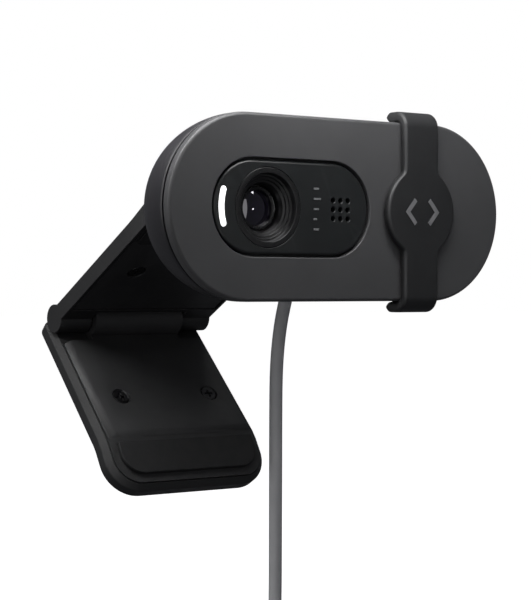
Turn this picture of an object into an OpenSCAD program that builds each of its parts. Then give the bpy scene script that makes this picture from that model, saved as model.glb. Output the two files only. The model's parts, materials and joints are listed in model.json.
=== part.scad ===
// Clip-on webcam: a pill-shaped camera head with a sliding lens shutter,
// carried by a folding two-leaf clip that grips the top edge of a screen.

/* [Camera head] */
// Width of the head across its round ends
head_w = 66.7; // [64:0.1:72]
// Height of the head
head_h = 29.1; // [28:0.1:31]
// Depth of the head from its face to its flat back
head_d = 16.5; // [15.5:0.1:18]
// Depth of the front shell's visible rim
rim_d = 1.6; // [1.4:0.1:1.8]
// Gap between front and rear shell in which the shutter runs
seam = 0.42; // [0.4:0.01:0.5]
// Wall thickness of the rear shell
wall = 1.4; // [1.2:0.1:1.6]
// Distance of the lens from the middle of the head
lens_x = 15; // [14:0.1:15.5]

/* [Lens window] */
// Width of the dark window panel
window_w = 30; // [28:0.1:31]
// Height of the dark window panel
window_h = 14.5; // [14.2:0.1:15.5]
// Gap around the window panel
window_gap = 0.4; // [0.2:0.05:0.6]
// Distance of the window panel's middle from the middle of the head
window_x = 10.2; // [9.8:0.1:10.6]
// Radius of the lens hood's mouth
hood_r = 5.35; // [5.2:0.05:5.6]
// Diameter of one microphone hole
mic_hole = 0.85; // [0.6:0.05:1]

/* [Shutter] */
// Width of the shutter band
band_w = 7.2; // [6:0.1:7.4]
// Diameter of the round cover on the band
cover_d = 14.3; // [13.5:0.1:15]
// Thickness of the band in front of the face
band_t = 1.5; // [1.2:0.1:1.8]

/* [Clip] */
// Width of the clip's arm and leg
clip_w = 32.8; // [30:0.2:34]
// Distance between the tilt pin and the leg pin
arm_len = 46.6; // [44:0.2:50]
// Slope of the arm below the horizontal, as stored
arm_slope = 30; // [20:1:40]
// Angle between the arm and the leg, as stored
opening = 75; // [60:1:90]
// Length of the leg from its pin to its tip
leg_len = 37.2; // [36:0.1:40]
// Angle by which the leg's tip bends back
tip_bend = 14; // [0:1:20]
// Diameter of the two hinge pins
pin_d = 1.6; // [1.2:0.1:1.8]

/* [Lead] */
// Diameter of the lead
cord_d = 2.5; // [2.4:0.1:2.6]

/* [Hidden] */
$fn = 48;
e = 0.01;

// The head's own frame: X to the right, Y to the back, Z up, from the middle of the face.
tilt_y = 23.7;
tilt_z = 4.5;

// The arm's frame lies on the tilt pin, with Y along the arm and Z out of its upper side.
arm_top = 2.25;
arm_low = -0.8;
ear_r = 3.5;
barrel_w = 19;
ear_in = barrel_w / 2 + 0.3;
plate_s0 = 6.8;
plate_s1 = 41.2;
plate_n = -0.6;
plate_t = 1.2;
grip_s0 = 7.2;
grip_s1 = 17.7;
grip_n = -1;

// The leg's frame lies on the leg pin, with Y along the leg and Z out of its outer side.
leg_pin_n = 0.55;
knuckle_r = 3.6;
cup_r = 2.75;
leg_seam = 2.3;
leg_out = 6.9;
platform_m = 1;
platform_t0 = 4.5;
platform_t1 = 26.2;
tip_t = 27.2;
lip_m = 2;
pad_m = 1.1;

// The part's origin is the middle of the grip pad's face.
grip_s = (grip_s0 + grip_s1) / 2;
origin_y = tilt_y + grip_s * cos(arm_slope) + grip_n * sin(arm_slope);
origin_z = tilt_z - grip_s * sin(arm_slope) + grip_n * cos(arm_slope);

// Middle line of the lead, from the end of the strain relief to the coil.
cord_route = [[21, -11, 1.5], [21, -8, 1.5], [21, -5, 1.2], [21, -1.8, 0.4], [21, 1, -0.9],
    [21, 3.6, -2.7], [21, 5.7, -5], [21, 7.5, -7.7], [21, 9, -10.8], [21, 10.2, -14], [21, 11.2, -17.5],
    [21, 12, -22], [21, 12.4, -27], [21, 12.5, -34], [21, 12.5, -44], [21, 12.5, -56], [21, 12.5, -64],
    [21, 12.5, -71], [21, 11.8, -76.2], [21, 9.8, -81], [21, 6.5, -85]];
relief = cord_route[0] + [0, origin_y, origin_z];

module in_head() {
    translate([0, -origin_y, -origin_z]) children();
}
module in_arm() {
    in_head() translate([0, tilt_y, tilt_z]) rotate([-arm_slope, 0, 0]) children();
}
module in_leg() {
    in_arm() translate([0, arm_len, leg_pin_n]) rotate([180 + opening, 0, 0]) children();
}
// The leg's frame past its bend.
module in_tip() {
    translate([0, tip_t, leg_seam]) rotate([tip_bend, 0, 0]) translate([0, -tip_t, -leg_seam]) children();
}

// ---- shared shapes ----

// Outline with round ends, w wide and h high.
module stadium(w, h) {
    translate([-(w - h) / 2, -h / 2]) square([w - h, h]);
    for (s = [-1, 1]) translate([s * (w - h) / 2, 0]) circle(d = h);
}
// Solid with that outline between the depths y0 and y1.
module stadium_plate(w, h, y0, y1) {
    translate([0, y1, 0]) rotate([90, 0, 0]) linear_extrude(y1 - y0) stadium(w, h);
}
// Solid whose outline shrinks with depth: each point of edge is [inset, depth].
module stadium_body(w, h, edge) {
    half = [for (p = edge) [h / 2 - p[0], p[1]]];
    last = len(edge) - 1;
    turned = concat([[0, edge[0][1]]], half, [[0, edge[last][1]]]);
    cut = concat([for (p = half) [p[1], p[0]]], [for (i = [last:-1:0]) [half[i][1], -half[i][0]]]);
    for (s = [-1, 1])
        translate([s * (w - h) / 2, 0, 0]) rotate([-90, 0, 0]) rotate([0, 0, s * -90])
            rotate_extrude(angle = 180) polygon(turned);
    translate([-(w - h) / 2, 0, 0]) rotate([90, 0, 90]) linear_extrude(w - h) polygon(cut);
}
// Round bar along X.
module bar_x(r, x0, x1) {
    translate([x0, 0, 0]) rotate([0, 90, 0]) cylinder(r = r, h = x1 - x0);
}
// Round bar along Y.
module bar_y(r, y0, y1) {
    translate([0, y0, 0]) rotate([-90, 0, 0]) cylinder(r = r, h = y1 - y0);
}
module box_at(x0, x1, y0, y1, z0, z1) {
    translate([x0, y0, z0]) cube([x1 - x0, y1 - y0, z1 - z0]);
}
// Square with round corners of radius r, from [x0, y0] to [x1, y1].
module round_square(x0, x1, y0, y1, r) {
    translate([x0 + r, y0]) square([x1 - x0 - 2 * r, y1 - y0]);
    translate([x0, y0 + r]) square([x1 - x0, y1 - y0 - 2 * r]);
    for (x = [x0 + r, x1 - r], y = [y0 + r, y1 - r]) translate([x, y]) circle(r = r);
}
// Outline in the Y-Z plane made into a solid between x0 and x1.
module side_extrude(x0, x1) {
    translate([x0, 0, 0]) rotate([90, 0, 90]) linear_extrude(x1 - x0) children();
}
// Cross-recess screw along -Z, its head's top at z = 0.
module cross_screw(head_d, head_h, thread_d, length) {
    slot_l = head_d * 0.6;
    slot_w = head_d * 0.14;
    difference() {
        union() {
            translate([0, 0, -head_h]) cylinder(d = head_d, h = head_h);
            translate([0, 0, -length]) cylinder(d = thread_d, h = length - head_h + e);
        }
        for (a = [0, 90]) rotate(a)
            translate([-slot_l / 2, -slot_w / 2, -head_h * 0.6]) cube([slot_l, slot_w, head_h]);
    }
}

// ---- camera head ----

// Rear shell's dome: a quarter ellipse from the seam to the flat back.
dome_in = 11.5;
function dome(y) = dome_in * (1 - sqrt(max(0, 1 - pow((y - rim_d) / (head_d - rim_d), 2))));
dome_steps = 14;
function dome_edge(y0, y1, extra) =
    [for (i = [0:dome_steps])
        let (y = y0 + (y1 - y0) * sin(90 * i / dome_steps)) [dome(y) + extra, y]];
fillet = 0.55;
panel_y = 0.1;
board_y = 9;
board_w = 54;
board_h = 18;
bracket_z = 2.6;

module front_shell() {
    edge = concat([for (a = [0:18:90]) [fillet * (1 - sin(a)), fillet * (1 - cos(a))]], [[0, rim_d]]);
    color([0.23, 0.23, 0.235]) in_head() difference() {
        union() {
            stadium_body(head_w, head_h, edge);
            stadium_plate(head_w - 3.6, head_h - 3.6, rim_d - e, rim_d + 2.9);
        }
        translate([-window_x, 0, 0])
            stadium_plate(window_w + 2 * window_gap, window_h + 2 * window_gap, -1, rim_d + e);
        stadium_plate(head_w - 6, head_h - 6, rim_d, rim_d + 4);
    }
}

// Places of the board's screws and of the bracket's screws, as [x, z].
board_holes = [for (x = [-25.2, 25.2], z = [-6.6, 6.6]) [x, z]];
bracket_holes = [[-11.4, 0], [11.4, 0]];
bracket_y = 13.7;

module rear_shell() {
    y0 = rim_d + seam;
    color([0.17, 0.17, 0.175]) in_head() difference() {
        union() {
            difference() {
                stadium_body(head_w, head_h, dome_edge(y0, head_d, 0));
                stadium_body(head_w, head_h, concat([[wall, y0 - 1]], dome_edge(y0, head_d - wall, wall)));
            }
            intersection() {
                stadium_body(head_w, head_h, dome_edge(y0, head_d, 0.5));
                for (p = board_holes) translate([p[0], 0, p[1]]) bar_y(1.6, board_y + 1, head_d);
            }
        }
        for (p = board_holes) translate([p[0], 0, p[1]]) bar_y(0.7, board_y, board_y + 3.4);
        for (p = bracket_holes) translate([p[0], 0, p[1]]) bar_y(0.7, bracket_y, head_d - 0.4);
        box_at(-barrel_w / 2 - 0.1, barrel_w / 2 + 0.1, bracket_y, head_d + 1, -bracket_z, bracket_z);
        translate([relief[0], 0, relief[2]]) bar_y(1.8, head_d - 4, head_d + 2);
    }
}

module window_panel() {
    color([0.05, 0.055, 0.06]) in_head() difference() {
        union() {
            translate([-window_x, 0, 0]) stadium_plate(window_w, window_h, panel_y, rim_d + e);
            translate([-window_x, 0, 0]) stadium_plate(window_w + 3, window_h + 3, rim_d, rim_d + 0.9);
        }
        translate([-lens_x, 0, 0]) bar_y(hood_r + 0.92, -1, 4);
        for (x = [-1:1], z = [-1:1]) translate([-0.8 + x * 1.5, 0, z * 1.45]) bar_y(mic_hole / 2, -1, 4);
        led_arc(8.2, 9.35, -1, 4);
    }
}

function turned(p, a) = [p[0] * cos(a) - p[1] * sin(a), p[0] * sin(a) + p[1] * cos(a)];

// Arc with round ends beside the lens, from radius r0 to r1 and from depth y0 to y1.
module led_arc(r0, r1, y0, y1) {
    half = 17;
    mid = (r0 + r1) / 2;
    tip = (r1 - r0) / 2;
    sweep = [-0.75 * half:0.25 * half:0.75 * half];
    outer = [for (a = sweep) turned([r1, 0], a)];
    inner = [for (a = sweep) turned([r0, 0], -a)];
    upper = [for (b = [0:30:180]) turned([mid + tip * cos(b), tip * sin(b)], half)];
    lower = [for (b = [180:30:360]) turned([mid + tip * cos(b), tip * sin(b)], -half)];
    translate([-lens_x, y1, 0]) rotate([90, 0, 0]) rotate(180)
        linear_extrude(y1 - y0) polygon(concat(outer, upper, inner, lower));
}

module lens_hood() {
    terraces = [[6.2, 0.1], [hood_r, 0.1], [5.25, 0.95], [4.85, 1], [4.8, 1.25], [4.35, 1.35],
                [4.3, 1.65], [3.85, 1.75], [3.6, 2.4], [3.6, 3.4], [5.6, 3.4], [6.2, 2.4]];
    color([0.04, 0.04, 0.045]) in_head() translate([-lens_x, 0, 0])
        rotate([-90, 0, 0]) rotate_extrude() polygon(terraces);
}

module lens_barrel() {
    profile = [[2.8, 2.95], [3.3, 2.85], [3.4, 2.95], [3.4, 7.2], [1.3, 7.2], [1.3, 4.3], [2.3, 3.75],
               [2.8, 3.58]];
    color([0.03, 0.03, 0.03]) in_head() translate([-lens_x, 0, 0])
        rotate([-90, 0, 0]) rotate_extrude() polygon(profile);
}

module front_glass() {
    r = 2.76;
    dome_pts = [for (i = [0:8]) [r * i / 8, 2.75 + 0.53 * pow(i / 8, 2)]];
    color([0.35, 0.3, 0.5, 0.6]) in_head() translate([-lens_x, 0, 0])
        rotate([-90, 0, 0]) rotate_extrude() polygon(concat(dome_pts, [[r, 3.56], [0, 3.56]]));
}

module inner_lenses() {
    color([0.6, 0.7, 0.8, 0.5]) in_head() translate([-lens_x, 0, 0])
        for (y = [4.6, 5.5, 6.4]) bar_y(1.28, y, y + 0.5);
}

module lens_holder() {
    color([0.06, 0.06, 0.06]) in_head() difference() {
        union() {
            box_at(-lens_x - 4.6, -lens_x + 4.6, 5.2, board_y, -4.6, 4.6);
            translate([-lens_x, 0, 0]) bar_y(4.4, 3.6, 5.3);
        }
        translate([-lens_x, 0, 0]) bar_y(3.42, 3.5, 7.21);
        box_at(-lens_x - 3.4, -lens_x + 3.4, 7.2, board_y + 1, -3.4, 3.4);
    }
}

module ir_filter() {
    color([0.5, 0.2, 0.2, 0.5]) in_head() box_at(-lens_x - 2.6, -lens_x + 2.6, 7.3, 7.6, -2.6, 2.6);
}

module image_sensor() {
    color([0.15, 0.2, 0.15]) in_head() {
        box_at(-lens_x - 3, -lens_x + 3, board_y - 0.6, board_y, -2.7, 2.7);
        box_at(-lens_x - 1.9, -lens_x + 1.9, board_y - 0.75, board_y - 0.59, -1.2, 1.2);
    }
}

module main_board() {
    color([0.02, 0.25, 0.12]) in_head() difference() {
        translate([0, board_y + 1, 0]) rotate([90, 0, 0]) linear_extrude(1)
            round_square(-board_w / 2, board_w / 2, -board_h / 2, board_h / 2, 3);
        for (p = board_holes) translate([p[0], 0, p[1]]) bar_y(0.85, board_y - 1, board_y + 2);
    }
}

module board_chips() {
    color([0.07, 0.07, 0.07]) in_head() {
        box_at(3, 10, board_y - 1, board_y, -3.5, 3.5);
        box_at(12.5, 16.5, board_y - 0.8, board_y, 1.5, 5.5);
        box_at(12.5, 15.5, board_y - 0.8, board_y, -5, -2);
        box_at(19, 21, board_y - 0.7, board_y, 2, 5.2);
        for (i = [0:4]) box_at(-7 + i * 1.7, -6 + i * 1.7, board_y - 0.5, board_y, 5.6, 6.1);
    }
}

module microphone() {
    color([0.75, 0.7, 0.5]) in_head() box_at(-2.5, 1, board_y - 1, board_y, -1.3, 1.3);
}

module mic_gasket() {
    color([0.1, 0.1, 0.1]) in_head() difference() {
        box_at(-3.2, 1.6, rim_d + 0.9, board_y - 1, -2.4, 2.4);
        translate([-0.8, 0, 0]) bar_y(0.9, rim_d, board_y);
    }
}

module status_led() {
    color([0.9, 0.9, 0.8]) in_head() box_at(-lens_x - 9.6, -lens_x - 8, board_y - 0.7, board_y, -0.8, 0.8);
}

module light_pipe() {
    color([0.95, 0.95, 0.95]) in_head() {
        led_arc(8.25, 9.3, 0.1, rim_d + 0.9);
        led_arc(8.0, 9.6, rim_d + 0.9, rim_d + 1.8);
        box_at(-lens_x - 9.4, -lens_x - 8.2, rim_d + 1.7, board_y - 0.7, -0.8, 0.8);
    }
}

module board_screws() {
    color("silver") in_head() for (p = board_holes)
        translate([p[0], board_y - 0.8, p[1]]) rotate([90, 0, 0]) cross_screw(2.6, 0.8, 1.38, 4);
}

module panel_marks() {
    color([0.45, 0.45, 0.46]) in_head()
        for (i = [-2:2]) box_at(-6.2, -5.2 + 0.4 * (i % 2), 0.04, 0.1, i * 1.6 - 0.16, i * 1.6 + 0.16);
}

module board_connector() {
    color([0.9, 0.88, 0.8]) in_head() box_at(12, 17.8, board_y + 1, board_y + 3.6, -2, 2);
}

// Collar in the rear shell's wall with a tapered sleeve, which ends at the lead's first point.
module strain_relief() {
    sleeve = [[0, -10.8], [2.9, -10.8], [2.9, -9.8], [1.75, -9.8], [1.75, -6.5], [2.6, -6.4],
        [2.6, -5], [1.75, 0], [0, 0]];
    color([0.06, 0.06, 0.06]) translate(cord_route[0]) difference() {
        rotate([-90, 0, 0]) rotate_extrude() polygon(sleeve);
        bar_y(1.15, -12, -5);
    }
}

// The lead's end inside the head, from the strain relief to the board's connector.
module inner_lead() {
    color([0.3, 0.3, 0.31]) in_head() {
        translate([relief[0], 0, relief[2]]) bar_y(1.1, board_y + 1.2, relief[1] - 5.1);
        translate([0, board_y + 2.15, relief[2]]) bar_x(0.9, 17.8, relief[0]);
    }
}

module tilt_bracket() {
    color([0.06, 0.06, 0.06]) in_head() difference() {
        union() {
            translate([0, tilt_y, tilt_z]) bar_x(3.4, -barrel_w / 2, barrel_w / 2);
            side_extrude(-barrel_w / 2, barrel_w / 2)
                polygon([[14, -2.5], [18, -2.5], [25.3, 1.6], [22.2, 7.5], [18, 2.5], [14, 2.5]]);
            box_at(-13, 13, bracket_y, head_d - wall - e, -4.4, 4.4);
        }
        translate([0, tilt_y, tilt_z]) bar_x(pin_d / 2 + 0.04, -15, 15);
        for (p = bracket_holes) translate([p[0], 0, p[1]]) bar_y(0.7, 13, 16);
    }
}

module bracket_screws() {
    color("silver") in_head() for (p = bracket_holes)
        translate([p[0], bracket_y - 0.8, p[1]]) rotate([90, 0, 0]) cross_screw(2.6, 0.8, 1.38, 2.9);
}

// ---- shutter ----

shutter_y0 = -0.1 - band_t;
foot_y = rim_d + 0.06;
foot_t = 0.3;
band_h = head_h / 2 + 0.1;
wrap_t = 1.75;
band_top = band_h + wrap_t;
band_back = 3.3;

module shutter_band() {
    y1 = foot_y + foot_t;
    color([0.05, 0.05, 0.052]) in_head() translate([lens_x, 0, 0]) {
        side_extrude(-band_w / 2, band_w / 2) difference() {
            intersection() {
                round_square(shutter_y0, shutter_y0 + 12, -band_top, band_top, 2.6);
                round_square(band_back - 12, band_back, -band_top, band_top, 1);
            }
            round_square(-0.1, 12, -band_h, band_h, 0.6);
        }
        for (s = [-1, 1]) box_at(-band_w / 2, band_w / 2, foot_y, y1, s * (band_h - 0.55) - 0.6,
            s * (band_h - 0.55) + 0.6);
        bar_y(cover_d / 2, shutter_y0, -0.1);
    }
}

// Two arrow heads that point both ways along the slide.
module slide_mark() {
    color([0.4, 0.4, 0.41]) in_head() translate([lens_x, shutter_y0, 0]) rotate([90, 0, 0])
        linear_extrude(0.06) for (s = [-1, 1]) scale([s, 1])
            polygon([[3.6, 0], [1.7, 2.2], [1.2, 1.7], [2.65, 0], [1.2, -1.7], [1.7, -2.2]]);
}

// ---- arm ----

// Upper side of the arm, which rises towards the tilt pin.
rise_s = 18;
function arm_rise(s) = arm_top + 1.2 * pow(max(0, rise_s - s) / (rise_s - 2), 2);
end_r = 3.05;

module arm_profile() {
    circle(r = ear_r);
    translate([arm_len, leg_pin_n]) circle(r = cup_r - 0.15);
    polygon(concat([[1.5, arm_low - 1.6], [4, arm_low - 1.2], [6.4, arm_low], [arm_len - 1.1, arm_low]],
        [for (a = [0:10:90]) [arm_len - 1.1 + end_r * cos(a), arm_low + end_r * sin(a)]],
        [for (s = [rise_s:-2:2]) [s, arm_rise(s)]]));
}

module arm_plan() {
    translate([-clip_w / 2, 6]) square([clip_w, arm_len]);
    round_square(-clip_w / 2, clip_w / 2, -ear_r, 12, 5);
}

arm_screw = [9.2, 27.7];

module arm_cover() {
    color([0.045, 0.045, 0.047]) in_arm() difference() {
        intersection() {
            side_extrude(-clip_w / 2, clip_w / 2) arm_profile();
            translate([0, 0, -6]) linear_extrude(12) arm_plan();
        }
        difference() {
            box_at(-clip_w / 2 + 0.6, clip_w / 2 - 0.6, plate_s0, plate_s1, arm_low - 4, 1.3);
            for (s = [-1, 1]) translate([s * arm_screw[0], arm_screw[1], plate_n + plate_t])
                cylinder(r = 1.9, h = 3);
        }
        for (s = [-1, 1]) translate([s * arm_screw[0], arm_screw[1], 0]) cylinder(r = 0.7, h = 1.5);
        box_at(-ear_in, ear_in, -6, 5.2, -6, 6);
        box_at(-ear_in, ear_in, plate_s1 + 0.8, arm_len + 6, -6, 6);
        bar_x(pin_d / 2 + 0.01, -clip_w / 2 + 1.6, clip_w / 2 - 1.6);
        translate([0, arm_len, leg_pin_n]) bar_x(pin_d / 2 + 0.01, -clip_w / 2 + 1, clip_w / 2 - 1);
    }
}

module arm_inner_plate() {
    half = clip_w / 2 - 0.9;
    color([0.05, 0.05, 0.052]) in_arm() difference() {
        box_at(-half, half, plate_s0 + 0.1, plate_s1 - 0.1, plate_n, plate_n + plate_t - 0.02);
        for (s = [-1, 1]) translate([s * arm_screw[0], arm_screw[1], 0]) {
            translate([0, 0, plate_n - 1]) cylinder(r = 1.75, h = 1.7);
            translate([0, 0, plate_n - 1]) cylinder(r = 0.85, h = 4);
        }
    }
}

module arm_screws() {
    color([0.15, 0.15, 0.15]) in_arm() for (s = [-1, 1])
        translate([s * arm_screw[0], arm_screw[1], plate_n + 0.1]) rotate([180, 0, 0])
            cross_screw(2.9, 0.55, 1.38, 1.9);
}

module arm_grip_pad() {
    color([0.03, 0.03, 0.03]) in_arm() translate([0, 0, grip_n]) linear_extrude(plate_n - grip_n)
        round_square(-14.9, 14.9, grip_s0, grip_s1, 0.8);
}

module tilt_pin() {
    color("silver") in_arm() bar_x(pin_d / 2, -clip_w / 2 + 1.8, clip_w / 2 - 1.8);
}

module tilt_washers() {
    color([0.05, 0.05, 0.052]) in_arm() hinge_washers(2.8);
}

module hinge_washers(r) {
    difference() {
        for (s = [-1, 1]) translate([s * (barrel_w / 2 + 0.15), 0, 0]) bar_x(r, -0.13, 0.13);
        bar_x(pin_d / 2 + 0.02, -barrel_w, barrel_w);
    }
}

module leg_pin() {
    color("silver") in_arm() translate([0, arm_len, leg_pin_n])
        bar_x(pin_d / 2, -clip_w / 2 + 1.2, clip_w / 2 - 1.2);
}

module leg_washers() {
    color([0.05, 0.05, 0.052]) in_arm() translate([0, arm_len, leg_pin_n]) hinge_washers(2.1);
}

// ---- leg ----

leg_screw = [9.55, 18.5];
leg_flare = 0.4;
tip_r = 6;
rim_inset = 0.95;

// The leg's outline up to its bend, drawn in by inset, and a little wider there than at the pin.
module leg_outline(inset) {
    half = clip_w / 2 - inset;
    polygon([[-half, 0], [half, 0], [half + leg_flare, tip_t], [-half - leg_flare, tip_t]]);
}
// The outline past the bend, round at the tip.
module tip_outline(inset) {
    half = clip_w / 2 + leg_flare - inset;
    r = tip_r - inset;
    t1 = leg_len - inset;
    translate([-half, tip_t]) square([2 * half, t1 - r - tip_t]);
    translate([r - half, tip_t]) square([2 * (half - r), t1 - tip_t]);
    for (s = [-1, 1]) translate([s * (half - r), t1 - r]) circle(r = r, $fn = 40);
}
// The part of the straight outline past t0 along the leg.
module leg_inside(inset, t0) {
    intersection() {
        leg_outline(inset);
        translate([-clip_w, t0]) square([2 * clip_w, leg_len]);
    }
}

// A point of the side outline past the bend: t along the leg, m from its middle plane.
function bent(t, m) = [
    tip_t + (t - tip_t) * cos(tip_bend) - (m - leg_seam) * sin(tip_bend),
    leg_seam + (t - tip_t) * sin(tip_bend) + (m - leg_seam) * cos(tip_bend)];
bevel_m = 3.3;
side_m = 5.4;
back_inset = 1.9;

// Side outline of the cover, with its tip bent back.
module cover_profile() {
    crease = tip_t + (leg_out - leg_seam) * tan(tip_bend / 2);
    polygon([[-2.4, bevel_m], [-1.5, leg_seam], [tip_t, leg_seam], bent(leg_len - rim_inset, leg_seam),
        bent(leg_len, bevel_m), bent(leg_len, side_m), bent(leg_len - back_inset, leg_out),
        bent(crease, leg_out), [-0.5, leg_out], [-2.4, side_m]]);
}
// Plan outline of the cover.
module cover_plan() {
    half = clip_w / 2;
    wide = half + leg_flare;
    polygon([[-half, -3], [half, -3], [wide, tip_t + 2], [wide, leg_len - tip_r], [wide - tip_r, leg_len],
        [tip_r - wide, leg_len], [-wide, leg_len - tip_r], [-wide, tip_t + 2]]);
    for (s = [-1, 1]) translate([s * (wide - tip_r), leg_len - tip_r]) circle(r = tip_r);
}
// Slanted edges of the cover's two long sides, in the X-m plane.
module cover_section() {
    wide = clip_w / 2 + leg_flare + 0.1;
    polygon([[rim_inset - wide, 0], [wide - rim_inset, 0], [wide - rim_inset, leg_seam], [wide, bevel_m],
        [wide, leg_out - 1], [wide - 1.2, leg_out + 5], [1.2 - wide, leg_out + 5], [-wide, leg_out - 1],
        [-wide, bevel_m], [rim_inset - wide, leg_seam]]);
}

module leg_cover() {
    color([0.045, 0.045, 0.047]) in_leg() difference() {
        intersection() {
            side_extrude(-clip_w, clip_w) cover_profile();
            linear_extrude(20) cover_plan();
            translate([0, 60, 0]) rotate([90, 0, 0]) linear_extrude(80) cover_section();
        }
        difference() {
            union() {
                translate([0, 0, leg_seam - 1]) linear_extrude(3.6) leg_inside(1.15, platform_t0 - 0.1);
                in_tip() translate([0, 0, leg_seam - 1]) linear_extrude(3.6) tip_outline(1.15);
            }
            for (s = [-1, 1]) translate([s * leg_screw[0], leg_screw[1], bevel_m]) cylinder(r = 2, h = 3);
        }
        for (s = [-1, 1]) translate([s * leg_screw[0], leg_screw[1], 2]) cylinder(r = 0.7, h = 3);
        bar_x(cup_r, -clip_w, clip_w);
        bar_x(knuckle_r + 0.03, -barrel_w / 2 - 0.1, barrel_w / 2 + 0.1);
        box_at(-barrel_w / 2 - 0.1, barrel_w / 2 + 0.1, 0, platform_t0 + 1.1, 0, 3.35);
    }
}

module leg_inner_plate() {
    half = clip_w / 2 - 1.25;
    color([0.05, 0.05, 0.052]) in_leg() difference() {
        union() {
            translate([0, 0, lip_m]) linear_extrude(1.28) leg_inside(1.25, platform_t0);
            in_tip() translate([0, 0, lip_m]) linear_extrude(1.28) tip_outline(1.25);
            intersection() {
                translate([0, leg_len, 0]) rotate([90, 0, 0]) linear_extrude(leg_len)
                    polygon([[-half, lip_m + e], [1.1 - half, platform_m], [half - 1.1, platform_m],
                        [half, lip_m + e]]);
                side_extrude(-clip_w, clip_w)
                    polygon([[platform_t0, platform_m], [platform_t1, platform_m],
                        [tip_t - 0.1, lip_m + e], [platform_t0, lip_m + e]]);
            }
            bar_x(knuckle_r, -barrel_w / 2, barrel_w / 2);
            box_at(-barrel_w / 2, barrel_w / 2, 0, platform_t0 + 1, platform_m, lip_m + 1.27);
        }
        bar_x(pin_d / 2 + 0.04, -15, 15);
        for (s = [-1, 1]) translate([s * leg_screw[0], leg_screw[1], 0]) {
            cylinder(r = 1.75, h = platform_m + 0.9);
            cylinder(r = 0.85, h = 6);
        }
        box_at(-6.5, 6.5, platform_t0 + 3, platform_t1 - 2, lip_m + 0.4, lip_m + 2);
    }
}

module leg_screws() {
    color([0.15, 0.15, 0.15]) in_leg() for (s = [-1, 1])
        translate([s * leg_screw[0], leg_screw[1], platform_m + 0.15]) rotate([180, 0, 0])
            cross_screw(2.9, 0.75, 1.38, 3.6);
}

module leg_pad() {
    color([0.03, 0.03, 0.03]) in_leg() in_tip() translate([0, 0, pad_m]) linear_extrude(lip_m - pad_m)
        intersection() {
            round_square(-14.3, 14.3, 18, leg_len - 2.7, 4);
            translate([-clip_w, tip_t + 1.1]) square([2 * clip_w, leg_len]);
        }
}

// ---- lead ----

function unit(v) = v / norm(v);
function cord_dir(i) =
    let (n = len(cord_route) - 1)
    unit(cord_route[min(i + 1, n)] - cord_route[max(i - 1, 0)]);
// Ring of eight points round point i, square to the route, which stays in one plane.
function cord_ring(i) =
    [for (a = [0:45:315])
        cord_route[i] + cord_d / 2 * (cos(a) * [1, 0, 0] + sin(a) * cross(cord_dir(i), [1, 0, 0]))];

module cord_run() {
    n = len(cord_route);
    sides = [for (i = [0:n - 2], k = [0:7])
        [i * 8 + k, i * 8 + (k + 1) % 8, (i + 1) * 8 + (k + 1) % 8, (i + 1) * 8 + k]];
    ends = [[for (k = [7:-1:0]) k], [for (k = [0:7]) (n - 1) * 8 + k]];
    color([0.3, 0.3, 0.31]) polyhedron([for (i = [0:n - 1]) each cord_ring(i)], concat(sides, ends));
}

coil_y = 18.2;
coil_z = -96.7;
coil_r = 14;
coil_x0 = 21 - cord_d / 2;
coil_x1 = coil_x0 + 6 * cord_d;

module cord_coil() {
    color([0.3, 0.3, 0.31]) translate([coil_x0, coil_y, coil_z]) rotate([0, 90, 0]) rotate_extrude()
        translate([coil_r - 1.5 * cord_d, 0]) round_square(0, 3 * cord_d, 0, coil_x1 - coil_x0, 1);
}

module cord_tie() {
    inside = coil_r - 1.5 * cord_d - 0.4;
    outside = coil_r + 1.5 * cord_d + 0.4;
    color([0.1, 0.1, 0.1]) translate([0, coil_y, coil_z]) difference() {
        box_at(coil_x0 - 1.2, coil_x1 + 1.2, inside - 0.8, outside + 0.8, -2.5, 2.5);
        box_at(coil_x0 - 0.4, coil_x1 + 0.4, inside, outside, -3, 3);
    }
}

// The plug hangs from the coil's last turn.
plug_x = coil_x1 - cord_d / 2;
plug_y = coil_y - coil_r - cord_d;
plug_z = coil_z - 14;

module cord_tail() {
    color([0.3, 0.3, 0.31]) translate([plug_x, plug_y, plug_z])
        cylinder(d = cord_d, h = coil_z - plug_z - 0.1, $fn = 24);
}

module plug_overmould() {
    color([0.08, 0.08, 0.08]) translate([plug_x, plug_y, plug_z]) {
        translate([0, 0, -28]) linear_extrude(20) round_square(-7.5, 7.5, -3.9, 3.9, 1.5);
        translate([0, 0, -8]) cylinder(r1 = 3, r2 = 1.9, h = 8);
    }
}

module plug_shell() {
    color("silver") translate([plug_x, plug_y, plug_z - 40]) difference() {
        linear_extrude(12) square([12, 4.5], center = true);
        translate([0, 0, -1]) linear_extrude(12.4) square([11.4, 3.9], center = true);
        for (s = [-1, 1], y = [-1, 1]) translate([s * 2.8, y * 2.2, 5.2]) cube([2, 1, 2], center = true);
    }
}

module plug_tongue() {
    color([0.9, 0.9, 0.9]) translate([plug_x, plug_y, plug_z - 39.4]) {
        translate([0, 0.95, 0]) linear_extrude(10.8) square([11.2, 1.8], center = true);
    }
}

module plug_contacts() {
    color("gold") translate([plug_x, plug_y, plug_z - 38.8])
        for (x = [-3.5, -1, 1, 3.5]) translate([x - 0.5, -0.15, 0]) cube([1, 0.2, 8]);
}

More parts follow.
